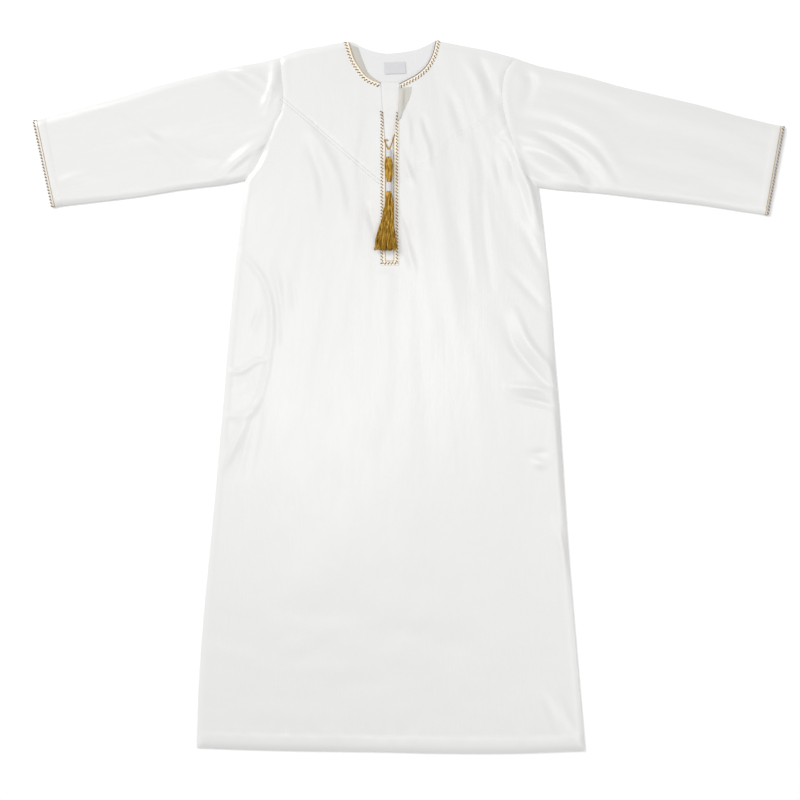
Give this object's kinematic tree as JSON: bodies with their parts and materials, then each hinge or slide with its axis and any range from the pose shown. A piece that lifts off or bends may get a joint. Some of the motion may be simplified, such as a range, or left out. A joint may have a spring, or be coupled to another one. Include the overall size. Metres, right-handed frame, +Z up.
{
  "type": "embroidered long gown laid flat",
  "caption": "Child's long white satin gown laid flat, with long sleeves, a slit neck with a placket, gold zigzag trim and a gold tassel.",
  "frame": {"origin": "middle of the laid-out gown's bounding box, on the surface that it lies on", "axes": "+Y towards the neck, +X towards the wearer's left sleeve, +Z up from the surface that the back lies on"},
  "size_m": [1.0548, 0.9988, 0.0157],
  "materials": {
    "satin": "white satin with a soft sheen",
    "satin_inside": "duller wrong side of the satin",
    "gold_braid": "gold thread zigzag on white satin",
    "gold_silk": "silky gold-ochre thread",
    "white_thread": "tightly wound white thread",
    "label": "plain woven label, blank"
  },
  "bodies": {
    "root": {"back": "satin", "front": "satin", "right_sleeve": "satin", "left_sleeve": "satin", "right_cuff_trim": "gold_braid", "left_cuff_trim": "gold_braid", "right_neck_trim": "gold_braid", "left_neck_trim": "gold_braid", "placket": "satin", "underlap": "satin", "neck_facing": "satin_inside", "neck_label": "label", "tassel_loop": "gold_silk", "tassel_upper_wrap": "white_thread", "tassel_ball": "gold_silk", "tassel_lower_wrap": "white_thread", "tassel_skirt": "gold_silk"}
  },
  "joints": []
}
